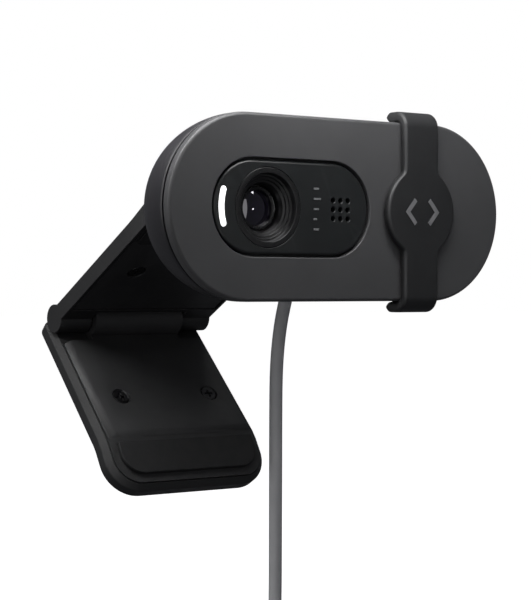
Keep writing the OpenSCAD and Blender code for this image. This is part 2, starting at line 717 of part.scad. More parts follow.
front_shell();
rear_shell();
window_panel();
lens_hood();
lens_barrel();
front_glass();
inner_lenses();
lens_holder();
ir_filter();
image_sensor();
main_board();
board_chips();
microphone();
mic_gasket();
status_led();
light_pipe();
board_screws();
panel_marks();
board_connector();
strain_relief();
inner_lead();
tilt_bracket();
bracket_screws();
shutter_band();
slide_mark();
arm_cover();
arm_inner_plate();
arm_screws();
arm_grip_pad();
tilt_pin();
tilt_washers();
leg_pin();
leg_washers();
leg_cover();
leg_inner_plate();
leg_screws();
leg_pad();
cord_run();
cord_coil();
cord_tail();
cord_tie();
plug_overmould();
plug_shell();
plug_tongue();
plug_contacts();
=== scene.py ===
"""Clip-on webcam: rounded head with a lens window and a sliding shutter, on a folding screen clip."""

import json
import math

import bmesh
import bpy
from mathutils import Matrix, Vector


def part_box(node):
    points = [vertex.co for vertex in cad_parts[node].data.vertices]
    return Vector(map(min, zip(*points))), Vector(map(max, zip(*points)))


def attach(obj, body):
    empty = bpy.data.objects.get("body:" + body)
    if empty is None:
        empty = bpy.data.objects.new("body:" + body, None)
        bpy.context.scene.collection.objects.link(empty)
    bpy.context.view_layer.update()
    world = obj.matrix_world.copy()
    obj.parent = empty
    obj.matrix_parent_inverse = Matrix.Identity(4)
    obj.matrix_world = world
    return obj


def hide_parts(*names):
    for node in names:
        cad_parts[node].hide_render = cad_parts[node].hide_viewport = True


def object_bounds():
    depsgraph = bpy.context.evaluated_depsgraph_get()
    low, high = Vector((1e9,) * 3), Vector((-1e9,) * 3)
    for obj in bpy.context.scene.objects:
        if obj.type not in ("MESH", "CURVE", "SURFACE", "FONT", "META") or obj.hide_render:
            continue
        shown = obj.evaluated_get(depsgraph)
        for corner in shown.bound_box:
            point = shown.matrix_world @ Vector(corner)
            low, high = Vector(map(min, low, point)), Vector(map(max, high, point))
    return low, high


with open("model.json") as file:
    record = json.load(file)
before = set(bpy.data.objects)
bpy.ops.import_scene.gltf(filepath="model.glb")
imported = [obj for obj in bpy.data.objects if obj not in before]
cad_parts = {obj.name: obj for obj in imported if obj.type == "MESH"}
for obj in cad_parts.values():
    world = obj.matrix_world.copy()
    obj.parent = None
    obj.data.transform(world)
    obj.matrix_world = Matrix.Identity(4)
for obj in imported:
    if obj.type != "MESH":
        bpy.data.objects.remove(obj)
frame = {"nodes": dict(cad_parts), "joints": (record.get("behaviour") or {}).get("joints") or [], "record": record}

cad_box = [list(c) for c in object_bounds()]
scene = bpy.context.scene
nodes = frame["nodes"]
joints = {j["name"]: j for j in frame["joints"]}

MM = 0.001
IDENTITY = Matrix.Identity(4)
ARM_SLOPE = math.radians(30)
CLIP_OPENING = math.radians(75)

# ---- the frames in which pieces are drawn, in millimetres ----

shell_low, shell_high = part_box("front_shell")
HEAD = Matrix.Translation((0, shell_low.y, (shell_low.z + shell_high.z) / 2)) @ Matrix.Scale(MM, 4)
LEG = (
    Matrix.Translation(joints["leg_fold"]["pos_m"])
    @ Matrix.Rotation(math.pi + CLIP_OPENING - ARM_SLOPE, 4, "X")
    @ Matrix.Scale(MM, 4)
)

# ---- camera ----

CAMERA_AT = (-0.17702, -0.25381, -0.00881)
CAMERA_AZIMUTH, CAMERA_ELEVATION, CAMERA_ROLL = (math.radians(a) for a in (36.29, 0.6, 0.176))

camera_data = bpy.data.cameras.new("camera")
camera_data.lens = 106.33
camera_data.sensor_width = 36
camera_data.clip_start = 0.01
camera = bpy.data.objects.new("camera", camera_data)
scene.collection.objects.link(camera)
camera.matrix_world = (
    Matrix.Translation(CAMERA_AT)
    @ Matrix.Rotation(-CAMERA_AZIMUTH, 4, "Z")
    @ Matrix.Rotation(math.pi / 2 - CAMERA_ELEVATION, 4, "X")
    @ Matrix.Rotation(CAMERA_ROLL, 4, "Z")
)
scene.camera = camera
scene.view_settings.view_transform = "Standard"
scene.view_settings.look = "None"


# ---- materials ----

# Pointiness where the wear of an edge begins and where it is full; flat faces stay below it.
EDGE_POINTINESS = (0.54, 0.62)


class Shader:
    """A Principled material that is built up from procedural layers in object coordinates."""

    def __init__(self, name, colour, rough, metal=0.0, ior=1.46):
        self.material = bpy.data.materials.new(name)
        self.material.use_nodes = True
        self.tree = self.material.node_tree
        self.bsdf = self.tree.nodes["Principled BSDF"]
        self.colour, self.rough = colour, rough
        self.bsdf.inputs["Base Color"].default_value = (*colour, 1)
        self.bsdf.inputs["Roughness"].default_value = rough
        self.bsdf.inputs["Metallic"].default_value = metal
        self.bsdf.inputs["IOR"].default_value = ior
        self.place = self.add("ShaderNodeTexCoord").outputs["Object"]
        self.normal = None
        self.material.diffuse_color = (*colour, 1)

    def add(self, kind, **inputs):
        node = self.tree.nodes.new(kind)
        for key, value in inputs.items():
            node.inputs[key.replace("_", " ")].default_value = value
        return node

    def join(self, output, target):
        self.tree.links.new(output, target)

    def noise(self, size_mm, detail=2.0, stretch=None):
        """Noise whose blotches are about size_mm across."""
        place = self.place
        if stretch:
            mapping = self.add("ShaderNodeMapping", Scale=stretch)
            self.join(place, mapping.inputs["Vector"])
            place = mapping.outputs["Vector"]
        node = self.add("ShaderNodeTexNoise", Scale=1 / (size_mm * MM), Detail=detail)
        self.join(place, node.inputs["Vector"])
        return node.outputs["Fac"]

    def ranged(self, value, low, high, to_low, to_high):
        """The value's range from low to high stretched to another range."""
        node = self.add("ShaderNodeMapRange")
        for slot, number in enumerate((low, high, to_low, to_high), 1):
            node.inputs[slot].default_value = number
        self.join(value, node.inputs[0])
        return node.outputs[0]

    def mixed(self, factor, a, b):
        """Mix of two colours, each a fixed colour or another node's output."""
        node = self.add("ShaderNodeMix")
        node.data_type = "RGBA"
        self.join(factor, node.inputs["Factor"])
        for socket, value in ((node.inputs[6], a), (node.inputs[7], b)):
            if isinstance(value, bpy.types.NodeSocket):
                self.join(value, socket)
            else:
                socket.default_value = (*value, 1)
        return node.outputs[2]

    def tinted(self, size_mm, amount):
        """Cloudy variation of the colour and of the roughness."""
        cloud = self.ranged(self.noise(size_mm, 3), 0.3, 0.7, 0, 1)
        dark = [c * (1 - amount) for c in self.colour]
        light = [min(1, c * (1 + amount)) for c in self.colour]
        self.tint = self.mixed(cloud, dark, light)
        self.join(self.tint, self.bsdf.inputs["Base Color"])
        rough = self.ranged(self.noise(size_mm * 0.6, 4), 0.3, 0.7, self.rough - 0.05, self.rough + 0.06)
        self.join(rough, self.bsdf.inputs["Roughness"])
        return self

    def worn(self, colour, amount):
        """Paler, rubbed edges."""
        edge = self.add("ShaderNodeNewGeometry").outputs["Pointiness"]
        mask = self.ranged(edge, *EDGE_POINTINESS, 0, amount)
        self.join(self.mixed(mask, self.tint, colour), self.bsdf.inputs["Base Color"])
        return self

    def bumped(self, height, depth_mm, strength):
        """Relief on top of the relief that is there already."""
        node = self.add("ShaderNodeBump", Strength=strength, Distance=depth_mm * MM)
        self.join(height, node.inputs["Height"])
        if self.normal:
            self.join(self.normal, node.inputs["Normal"])
        self.normal = node.outputs["Normal"]
        self.join(self.normal, self.bsdf.inputs["Normal"])
        return self

    def grained(self, size_mm, depth_mm):
        """The fine spark-eroded texture of a mould."""
        return self.bumped(self.noise(size_mm, 2), depth_mm, 0.5)


def plastic(name, colour, rough, grain, depth, cloud, amount, wear=0.0):
    """Moulded plastic: grain's size and depth, clouds' size and amount, and how far its edges are worn."""
    shader = Shader(name, colour, rough).tinted(cloud, amount)
    if wear:
        shader.worn([min(1, c * 2.4 + 0.01) for c in colour], wear)
    return shader.grained(grain, depth)


def metal(name, colour, rough):
    """Bare metal with fine brushed lines."""
    shader = Shader(name, colour, rough, metal=1.0).tinted(1.5, 0.1)
    return shader.bumped(shader.noise(0.12, 2, (1, 1, 12)), 0.0015, 0.5)


FRONT = plastic("graphite_shell", (0.048, 0.048, 0.05), 0.46, 0.22, 0.012, 8, 0.06)
REAR = plastic("dark_shell", (0.017, 0.0165, 0.019), 0.42, 0.25, 0.012, 9, 0.07, 0.25)
PANEL = plastic("window_panel", (0.008, 0.009, 0.0095), 0.38, 0.2, 0.004, 5, 0.08, 0.2)
HOOD = plastic("lens_hood", (0.006, 0.006, 0.0065), 0.34, 0.2, 0.004, 3, 0.08)
BARREL = plastic("lens_barrel", (0.005, 0.005, 0.0055), 0.24, 0.2, 0.003, 3, 0.08)
BAND = plastic("shutter_plastic", (0.011, 0.0112, 0.012), 0.5, 0.22, 0.008, 5, 0.1, 0.3)
CLIP = plastic("clip_plastic", (0.012, 0.012, 0.0125), 0.52, 0.28, 0.012, 7, 0.12, 0.3)
CLIP_INNER = plastic("clip_inner_plastic", (0.0165, 0.0165, 0.0172), 0.55, 0.24, 0.012, 6, 0.12, 0.2)
PAD = plastic("pad_rubber", (0.0065, 0.0065, 0.007), 0.72, 0.18, 0.014, 4, 0.14)
BRACKET = plastic("bracket_plastic", (0.011, 0.011, 0.012), 0.48, 0.25, 0.012, 5, 0.1, 0.3)
SHEATH = plastic("lead_sheath", (0.4, 0.4, 0.41), 0.45, 0.35, 0.005, 6, 0.07)
RELIEF = plastic("relief_rubber", (0.03, 0.03, 0.032), 0.5, 0.25, 0.012, 4, 0.1)
PLUG = plastic("plug_plastic", (0.016, 0.016, 0.017), 0.5, 0.25, 0.014, 5, 0.12, 0.3)
SCREW_BLACK = metal("black_screw", (0.05, 0.05, 0.052), 0.4)
STEEL = metal("screw_steel", (0.55, 0.55, 0.56), 0.3)
SHELL_STEEL = metal("plug_steel", (0.62, 0.61, 0.6), 0.24)
CAN_BRASS = metal("microphone_can", (0.62, 0.46, 0.2), 0.32)
WASHER = plastic("washer_nylon", (0.012, 0.012, 0.0125), 0.55, 0.25, 0.012, 3, 0.1)
GOLD = metal("contact_gold", (0.85, 0.6, 0.2), 0.2)
MARK = plastic("mark_ink", (0.13, 0.13, 0.135), 0.5, 0.15, 0.004, 2, 0.1)
BOARD = plastic("circuit_board", (0.01, 0.08, 0.035), 0.3, 0.4, 0.01, 3, 0.2)
CHIP = plastic("chip_plastic", (0.012, 0.012, 0.012), 0.5, 0.12, 0.01, 1.5, 0.15)
NYLON = plastic("connector_nylon", (0.62, 0.58, 0.42), 0.4, 0.3, 0.008, 2, 0.08)
WHITE = plastic("tongue_plastic", (0.7, 0.7, 0.68), 0.4, 0.3, 0.008, 2, 0.05)
FOAM = plastic("gasket_foam", (0.012, 0.012, 0.012), 0.9, 0.35, 0.08, 1.5, 0.2)
SENSOR = plastic("sensor", (0.03, 0.045, 0.035), 0.15, 0.1, 0.002, 1, 0.2)


def glass(name, colour, coat, coat_ior, clear):
    """Glass under a coating, with faint smears that show only in its gloss."""
    shader = Shader(name, colour, 0.02, ior=1.52)
    smears = shader.ranged(shader.noise(1.2, 3), 0.3, 0.7, 0.0, 0.04)
    shader.join(smears, shader.bsdf.inputs["Roughness"])
    shader.bsdf.inputs["Transmission Weight"].default_value = clear
    shader.bsdf.inputs["Coat Weight"].default_value = coat
    shader.bsdf.inputs["Coat IOR"].default_value = coat_ior
    shader.bsdf.inputs["Coat Tint"].default_value = (0.92, 0.88, 1.0, 1)
    return shader


LENS_GLASS = glass("lens_glass", (0.003, 0.002, 0.006), 1.0, 1.6, 0.0)
INNER_GLASS = glass("inner_glass", (0.6, 0.5, 0.85), 0.5, 1.7, 1.0)
FILTER_GLASS = glass("filter_glass", (0.7, 0.4, 0.4), 0.5, 1.6, 1.0)


def light_pipe_material():
    """White plastic that is lit from behind."""
    shader = plastic("light_pipe", (0.9, 0.9, 0.9), 0.35, 0.3, 0.004, 2, 0.03)
    shader.bsdf.inputs["Emission Color"].default_value = (1, 1, 1, 1)
    shader.bsdf.inputs["Emission Strength"].default_value = 1.1
    return shader


LIGHT_PIPE = light_pipe_material()


def strap_material():
    """Woven strap: two crossing sets of threads."""
    shader = Shader("tie_strap", (0.015, 0.015, 0.016), 0.8).tinted(1.5, 0.25)
    for direction in ("X", "Z"):
        wave = shader.add("ShaderNodeTexWave", Scale=1 / (1.6 * MM), Distortion=0.4)
        wave.bands_direction = direction
        shader.join(shader.place, wave.inputs["Vector"])
        shader.bumped(wave.outputs["Fac"], 0.06, 0.6)
    return shader


STRAP = strap_material()

# ---- mesh helpers ----


def linked(name, mesh, matrix, body, material, stands_for, angle=32):
    """Object of a mesh in its own frame: placed, smoothed, given its material and handed to its body, with the CAD
    nodes it stands for hidden.
    """
    mesh.transform(matrix)
    mesh.materials.clear()
    mesh.materials.append(material.material)
    mesh.polygons.foreach_set("use_smooth", [True] * len(mesh.polygons))
    mesh.set_sharp_from_angle(angle=math.radians(angle))
    obj = bpy.data.objects.new(name, mesh)
    scene.collection.objects.link(obj)
    obj.modifiers.new("normals", "WEIGHTED_NORMAL").keep_sharp = True
    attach(obj, body)
    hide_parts(*stands_for)
    return obj


def from_bmesh(bm, name):
    """Mesh with all its faces turned outwards."""
    bmesh.ops.recalc_face_normals(bm, faces=bm.faces)
    mesh = bpy.data.meshes.new(name)
    bm.to_mesh(mesh)
    bm.free()
    return mesh


def circle(r, u, v, count):
    """Outline of radius r; a positive inset makes it smaller."""

    def outline(inset):
        turns = [2 * math.pi * i / count for i in range(count)]
        return [(u + (r - inset) * math.cos(a), v + (r - inset) * math.sin(a)) for a in turns]

    return outline


def hole(shape):
    """The same outline as the edge of a hole: a positive inset makes the hole larger."""
    return lambda inset: shape(-inset)


def stadium(w, h, u=0.0, v=0.0, ends=48, sides=24):
    """Outline of two half circles joined by straight sides."""

    def outline(inset):
        r, half = h / 2 - inset, (w - h) / 2
        points = []
        for s in (1, -1):
            arc = [math.pi * (i / ends - 0.5) for i in range(ends + 1)]
            points += [(u + s * (half + r * math.cos(a)), v + s * r * math.sin(a)) for a in arc]
            line = [half - 2 * half * i / sides for i in range(1, sides)]
            points += [(u + s * x, v + s * r) for x in line]
        return points

    return outline


def rounded_box(u0, u1, v0, v1, r, steps=10):
    """Outline of a rectangle with round corners."""

    def outline(inset):
        corner = max(r - inset, 0.05)
        a0, a1 = u0 + inset + corner, u1 - inset - corner
        b0, b1 = v0 + inset + corner, v1 - inset - corner
        points = []
        for quarter, (cu, cv) in enumerate(((a1, b1), (a0, b1), (a0, b0), (a1, b0))):
            for i in range(steps + 1):
                a = math.pi / 2 * (quarter + i / steps)
                points.append((cu + corner * math.cos(a), cv + corner * math.sin(a)))
        return points

    return outline


def arc_slot(u, v, r0, r1, half):
    """Slot with round ends along an arc, on the left of (u, v)."""

    def outline(inset):
        a0, mid, tip = math.radians(half), (r0 + r1) / 2, (r1 - r0) / 2 - inset
        points = []
        for i in range(17):
            a = math.pi - a0 + 2 * a0 * i / 16
            points.append((u + (mid + tip) * math.cos(a), v + (mid + tip) * math.sin(a)))
        for end, back in ((math.pi + a0, 1), (math.pi - a0, -1)):
            cu, cv = u + mid * math.cos(end), v + mid * math.sin(end)
            start = end if back > 0 else end + math.pi
            for i in range(1, 8):
                a = start + math.pi * i / 8
                points.append((cu + tip * math.cos(a), cv + tip * math.sin(a)))
            if back > 0:
                for i in range(17):
                    a = math.pi + a0 - 2 * a0 * i / 16
                    points.append((u + (mid - tip) * math.cos(a), v + (mid - tip) * math.sin(a)))
        return points

    return outline


FLAT_RING = 0.06


def edge(y0, y1, r0, r1, steps=6):
    """Profile of a wall from y0 to y1, as insets and depths, with fillets r0 and r1.

    Two flat rings beside each fillet keep the shading of the faces even.
    """
    turns = [math.pi / 2 * i / steps for i in range(steps + 1)]
    s = 1 if y1 > y0 else -1
    front = [(r0 * (1 - math.sin(a)), y0 + s * r0 * (1 - math.cos(a))) for a in turns]
    back = [(r1 * (1 - math.cos(a)), y1 - s * r1 * (1 - math.sin(a))) for a in turns]
    before = [(r0 + FLAT_RING * k, y0) for k in (2, 1)]
    after = [(r1 + FLAT_RING * k, y1) for k in (1, 2)]
    return before + front + back + after


def facing_front(u, v, depth):
    """Outline in X and Z, depth along Y."""
    return (u, depth, v)


def facing_up(u, v, depth):
    """Outline in X and Y, depth along Z."""
    return (u, v, depth)


def strip(bm, a, b):
    """Faces between two rings of as many vertices."""
    for i in range(len(a)):
        bm.faces.new((a[i - 1], a[i], b[i], b[i - 1]))


def add_plate(bm, loops, place):
    """Plate with holes: each loop is an outline and its own edge profile."""
    ends = [[], []]
    for outline, profile in loops:
        rings = [[bm.verts.new(place(u, v, y)) for u, v in outline(inset)] for inset, y in profile]
        for a, b in zip(rings, rings[1:]):
            strip(bm, a, b)
        for end, ring in zip(ends, (rings[0], rings[-1])):
            end += [bm.edges.get((ring[i - 1], ring[i])) for i in range(len(ring))]
    for end in ends:
        bmesh.ops.triangle_fill(bm, use_beauty=True, edges=end)


def plate(name, loops, place=facing_front):
    """Mesh of one plate."""
    bm = bmesh.new()
    add_plate(bm, loops, place)
    return from_bmesh(bm, name)


def rounded(points, radii, steps=5):
    """Outline with its corners rounded, each by its own radius; a radius of 0 keeps the corner."""
    made = []
    for i, (p, r) in enumerate(zip(points, radii)):
        if r <= 0:
            made.append(tuple(p))
            continue
        here = Vector(p)
        back, on = Vector(points[i - 1]) - here, Vector(points[(i + 1) % len(points)]) - here
        reach = min(back.length, on.length) * 0.48
        half = back.angle(on) / 2
        cut = min(r / math.tan(half), reach)
        a, b = here + back.normalized() * cut, here + on.normalized() * cut
        for k in range(steps + 1):
            t = k / steps
            made.append(tuple(a.lerp(here, t).lerp(here.lerp(b, t), t)))
    return made


def lathe(name, profile, centre=(0, 0), count=96):
    """Profile of (radius, depth) turned about a line along Y through centre (x, z)."""
    bm = bmesh.new()
    turns = [2 * math.pi * i / count for i in range(count)]
    rings = []
    for r, y in profile:
        if r < 1e-6:
            rings.append([bm.verts.new((centre[0], y, centre[1]))])
            continue
        spots = [(centre[0] + r * math.cos(a), y, centre[1] + r * math.sin(a)) for a in turns]
        rings.append([bm.verts.new(spot) for spot in spots])
    pairs = list(zip(rings, rings[1:]))
    if len(rings[0]) > 1 and len(rings[-1]) > 1:
        pairs.append((rings[-1], rings[0]))
    for a, b in pairs:
        if len(a) == len(b):
            strip(bm, a, b)
            continue
        tip, ring = (a[0], b) if len(a) == 1 else (b[0], a)
        for i in range(count):
            bm.faces.new((tip, ring[i - 1], ring[i]))
    return from_bmesh(bm, name)


# Edges that turn by more than this are rounded, with so many facets across each.
SHARP_TURN, BEVEL_FACETS = math.radians(30), 3


def rounded_copy(node, radius_mm):
    """A CAD node's own shape with its sharp edges rounded, in metres."""
    bm = bmesh.new()
    bm.from_mesh(nodes[node].data)
    bmesh.ops.remove_doubles(bm, verts=bm.verts, dist=2e-6)
    bmesh.ops.dissolve_limit(bm, angle_limit=math.radians(1.5), verts=bm.verts, edges=bm.edges)
    sharp = [e for e in bm.edges if e.is_manifold and e.calc_face_angle(0) > SHARP_TURN]
    bmesh.ops.bevel(
        bm, geom=sharp, offset=radius_mm * MM, segments=BEVEL_FACETS, profile=0.5,
        affect="EDGES", clamp_overlap=True,
    )
    bmesh.ops.remove_doubles(bm, verts=bm.verts, dist=1e-7)
    return from_bmesh(bm, node + "_round")


# ---- lead: run, coil and tail on one line ----

CORD_D = 2.5
CORD_RUN = [
    (21, -11, 1.5), (21, -8, 1.5), (21, -5, 1.2), (21, -1.8, 0.4), (21, 1, -0.9), (21, 3.6, -2.7),
    (21, 5.7, -5), (21, 7.5, -7.7), (21, 9, -10.8), (21, 10.2, -14), (21, 11.2, -17.5), (21, 12, -22),
    (21, 12.4, -27), (21, 12.5, -34), (21, 12.5, -44), (21, 12.5, -56), (21, 12.5, -64), (21, 12.5, -71),
    (21, 11.8, -76.2), (21, 9.8, -81),
]
COIL_Y, COIL_Z = 18.2, -96.7
PLUG_X, PLUG_Y, PLUG_Z = 33.5, 1.7, -110.7
# Each stage of the winding: turns, X at its ends, radius at its ends.
WINDING = [
    (1.0, 21, 21, 16.5, 11.5), (5.0, 21, 33.5, 11.5, 11.5), (0.5, 33.5, 33.5, 11.5, 14),
    (4.0, 33.5, 23.5, 14, 14), (0.5, 23.5, 23.5, 14, 16.5), (4.125, 23.5, 33.5, 16.5, 16.5),
]
STEPS_A_TURN, COIL_START = 36, 135.0


def smooth_line(points, pieces=4):
    """Catmull-Rom line through the points."""
    made = []
    for i in range(len(points) - 1):
        p = [Vector(points[min(max(i + k, 0), len(points) - 1)]) for k in (-1, 0, 1, 2)]
        for k in range(pieces):
            t = k / pieces
            made.append(
                0.5 * (2 * p[1] + (p[2] - p[0]) * t + (2 * p[0] - 5 * p[1] + 4 * p[2] - p[3]) * t * t
                       + (3 * p[1] - p[0] - 3 * p[2] + p[3]) * t ** 3)
            )
    return made + [Vector(points[-1])]


def cord_line():
    """The lead's whole line: its run, the coil's turns about X, and the tail into the plug."""
    turned, coil = COIL_START, []
    for turns, x0, x1, r0, r1 in WINDING:
        count = round(turns * STEPS_A_TURN)
        for i in range(count):
            t = i / count
            a = math.radians(turned + 360 * turns * t)
            r = r0 + (r1 - r0) * t
            coil.append(Vector((x0 + (x1 - x0) * t, COIL_Y + r * math.cos(a), COIL_Z + r * math.sin(a))))
        turned += 360 * turns
    tail = [Vector((PLUG_X, PLUG_Y, z)) for z in (COIL_Z, -101, -106, PLUG_Z - 1.5)]
    return smooth_line(CORD_RUN + [tuple(coil[0])]) + coil[1:] + tail


def make_cord():
    """Round tube along the line."""
    line = [p * MM for p in cord_line()]
    curve = bpy.data.curves.new("lead", "CURVE")
    curve.dimensions = "3D"
    curve.bevel_depth = CORD_D / 2 * MM
    curve.bevel_resolution = 6
    curve.use_fill_caps = True
    spline = curve.splines.new("POLY")
    spline.points.add(len(line) - 1)
    for point, at in zip(spline.points, line):
        point.co = (*at, 1)
    spline.use_smooth = True
    obj = bpy.data.objects.new("lead", curve)
    scene.collection.objects.link(obj)
    curve.materials.append(SHEATH.material)
    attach(obj, "head")
    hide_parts("cord_run", "cord_coil", "cord_tail")
    return obj


lead = make_cord()

# ---- head shells ----

HEAD_W, HEAD_H, HEAD_D, RIM_D = 66.7, 29.1, 16.5, 1.6
LENS_X, WINDOW_X = -15, -10.2
WINDOW_W, WINDOW_H, WINDOW_RECESS = 30, 14.5, 0.4
FACE_FILLET, WINDOW_FILLET = 0.55, 0.16
SPIGOT_D, SPIGOT_OUTER, SPIGOT_INNER = 2.9, 1.8, 3.0
SHELL_GAP, SHELL_WALL, SHELL_LIP = 0.42, 1.4, 0.15
DOME_REACH, DOME_REACH_INSIDE, DOME_STEPS = 11.5, 11.3, 40


def front_shell():
    """Face with the window's opening, and the spigot that fits inside the rear shell."""
    bm = bmesh.new()
    window = stadium(WINDOW_W + 2 * WINDOW_RECESS, WINDOW_H + 2 * WINDOW_RECESS, WINDOW_X)
    face = [
        (stadium(HEAD_W, HEAD_H, ends=72, sides=36), edge(0, RIM_D, FACE_FILLET, 0.12, 8)),
        (hole(window), edge(0, RIM_D, WINDOW_FILLET, 0.05, 5)),
    ]
    add_plate(bm, face, facing_front)
    outer, inner = (stadium(HEAD_W - 2 * s, HEAD_H - 2 * s) for s in (SPIGOT_OUTER, SPIGOT_INNER))
    wall = edge(RIM_D, RIM_D + SPIGOT_D, 0.05, 0.2, 3)
    spigot = [(outer, wall), (hole(inner), wall)]
    add_plate(bm, spigot, facing_front)
    return from_bmesh(bm, "front_shell_body")


linked("front_shell_body", front_shell(), HEAD, "head", FRONT, ["front_shell"])


def dome(y, depth, reach):
    """Inset of the domed back at y; the dome draws in by reach on its way to depth."""
    t = min(1.0, max(0.0, (y - RIM_D) / (depth - RIM_D)))
    return reach * (1 - math.sqrt(1 - t * t))


def rear_shell():
    """Domed shell with a wall, closed at the back."""
    bm = bmesh.new()
    y0 = RIM_D + SHELL_GAP
    y_outer, y_inner = y0 + SHELL_LIP, HEAD_D - SHELL_WALL
    outline = stadium(HEAD_W, HEAD_H, ends=72, sides=36)
    sines = [math.sin(math.pi / 2 * i / DOME_STEPS) for i in range(DOME_STEPS + 1)]
    outer, inner = [], []
    for sine in sines:
        y = y_outer + (HEAD_D - y_outer) * sine
        outer.append((dome(y, HEAD_D, DOME_REACH), y))
        y = y0 + (y_inner - y0) * sine
        inner.append((dome(y, y_inner, DOME_REACH_INSIDE) + SHELL_WALL, y))
    start = dome(y0, HEAD_D, DOME_REACH)
    lip = [(SHELL_WALL, y0), (SHELL_LIP + start, y0), (0.05 + start, y0 + 0.05)]
    profile = list(reversed(inner)) + lip + outer
    rings = [[bm.verts.new((u, y, v)) for u, v in outline(inset)] for inset, y in profile]
    for a, b in zip(rings, rings[1:]):
        strip(bm, a, b)
    for ring in (rings[0], rings[-1]):
        edges = [bm.edges.get((ring[i - 1], ring[i])) for i in range(len(ring))]
        bmesh.ops.triangle_fill(bm, use_beauty=True, edges=edges)
    bmesh.ops.remove_doubles(bm, verts=bm.verts, dist=1e-4)
    return from_bmesh(bm, "rear_shell_body")


linked("rear_shell_body", rear_shell(), HEAD, "head", REAR, ["rear_shell"])

# ---- lens window ----

PANEL_Y, MIC_X, MIC_PITCH_X, MIC_PITCH_Z, MIC_R = 0.1, -0.8, 1.5, 1.45, 0.425
HOOD_R, FLANGE_W, FLANGE_H, FLANGE_D = 6.27, 33, 17.5, 0.9
LIGHT_R0, LIGHT_R1, LIGHT_HALF, LIGHT_GAP = 8.2, 9.35, 17, 0.05


def window_panel():
    """Panel with openings for the lens, the light and the microphone, and a flange behind it."""
    bm = bmesh.new()
    places = [(MIC_X + i * MIC_PITCH_X, k * MIC_PITCH_Z) for i in (-1, 0, 1) for k in (-1, 0, 1)]
    mics = [hole(circle(MIC_R, x, z, 32)) for x, z in places]
    lens = hole(circle(HOOD_R, LENS_X, 0, 96))
    light = hole(arc_slot(LENS_X, 0, LIGHT_R0, LIGHT_R1, LIGHT_HALF))
    face = [(stadium(WINDOW_W, WINDOW_H, WINDOW_X), edge(PANEL_Y, RIM_D, 0.42, 0.02, 8))]
    face += [(opening, edge(PANEL_Y, RIM_D, 0.06, 0.02, 3)) for opening in (lens, light)]
    face += [(mic, edge(PANEL_Y, RIM_D, 0.1, 0.02, 4)) for mic in mics]
    add_plate(bm, face, facing_front)
    y0, y1 = RIM_D + 0.02, RIM_D + FLANGE_D
    flange = [(stadium(FLANGE_W, FLANGE_H, WINDOW_X), edge(y0, y1, 0.05, 0.05, 2))]
    flange += [(opening, edge(y0, y1, 0.02, 0.02, 2)) for opening in [lens, light] + mics]
    add_plate(bm, flange, facing_front)
    return from_bmesh(bm, "window_panel_body")


linked("window_panel_body", window_panel(), HEAD, "head", PANEL, ["window_panel"])

# Stepped funnel round the lens: radius and depth of each corner, and the fillet there.
HOOD_PROFILE = [
    (6.2, 0.1), (5.35, 0.1), (5.2, 1.0), (4.85, 1.05), (4.78, 1.3), (4.4, 1.38), (4.33, 1.65), (3.95, 1.75),
    (3.7, 2.45), (3.6, 3.4), (5.6, 3.4), (6.2, 2.4),
]
HOOD_ROUND = [0.08, 0.12, 0.1, 0.06, 0.08, 0.06, 0.08, 0.06, 0.1, 0, 0, 0]
hood = lathe("lens_hood_body", rounded(HOOD_PROFILE, HOOD_ROUND), (LENS_X, 0), 128)
linked("lens_hood_body", hood, HEAD, "head", HOOD, ["lens_hood"], 40)


def barrel_profile():
    """Front ring round the glass, then a stepped cone behind it."""
    outer = [(3.4, 7.2), (3.4, 2.98), (3.3, 2.86), (2.86, 2.94), (2.8, 3.04), (2.8, 3.58)]
    cone = []
    for i in range(6):
        r, y = 2.62 - 0.21 * i, 3.64 + 0.11 * i
        cone += [(r, y), (r - 0.03, y + 0.08)]
    seat = [(1.36, 4.3), (1.3, 4.34), (1.3, 7.2)]
    radii = [0, 0.08, 0.08, 0.06, 0.05, 0.03] + [0.015] * len(cone) + [0.03, 0.03, 0]
    return rounded(outer + cone + seat, radii, 4)


barrel = lathe("lens_barrel_body", barrel_profile(), (LENS_X, 0), 128)
linked("lens_barrel_body", barrel, HEAD, "head", BARREL, ["lens_barrel"], 40)

GLASS_R, GLASS_Y, GLASS_RISE, GLASS_BACK = 2.76, 2.75, 0.53, 3.55
GLASS_STEPS = 24
glass_line = []
for step in range(GLASS_STEPS + 1):
    share = step / GLASS_STEPS
    glass_line.append((GLASS_R * share, GLASS_Y + GLASS_RISE * share ** 2))
glass_line += [(GLASS_R, GLASS_BACK), (0, GLASS_BACK)]
linked("front_glass_body", lathe("front_glass_body", glass_line, (LENS_X, 0)),
       HEAD, "head", LENS_GLASS, ["front_glass"], 40)

arc = arc_slot(LENS_X, 0, LIGHT_R0 + LIGHT_GAP, LIGHT_R1 - LIGHT_GAP, LIGHT_HALF)
light_arc = plate("light_arc_body", [(arc, edge(0.12, RIM_D + 1.7, 0.1, 0.02, 4))])
linked("light_arc_body", light_arc, HEAD, "head", LIGHT_PIPE, ["light_pipe"])

# ---- shutter ----

SHUTTER_X, BAND_HALF, COVER_R, COVER_FILLET = 15, 3.6, 7.15, 0.9
BAND_T, BAND_WRAP_T, BAND_GAP = 1.42, 1.72, 0.1
BAND_TOP, BAND_LIFT = HEAD_H / 2 + BAND_GAP + 1.75, 0.04
BAND_BACK, BAND_END_R, BAND_BEND, BAND_EDGE_R = 3.28, 0.7, 1.9, 0.5
FOOT_DROP, FOOT_H, FOOT_Y0, FOOT_Y1 = 0.3, 0.9, RIM_D + 0.07, RIM_D + 0.35


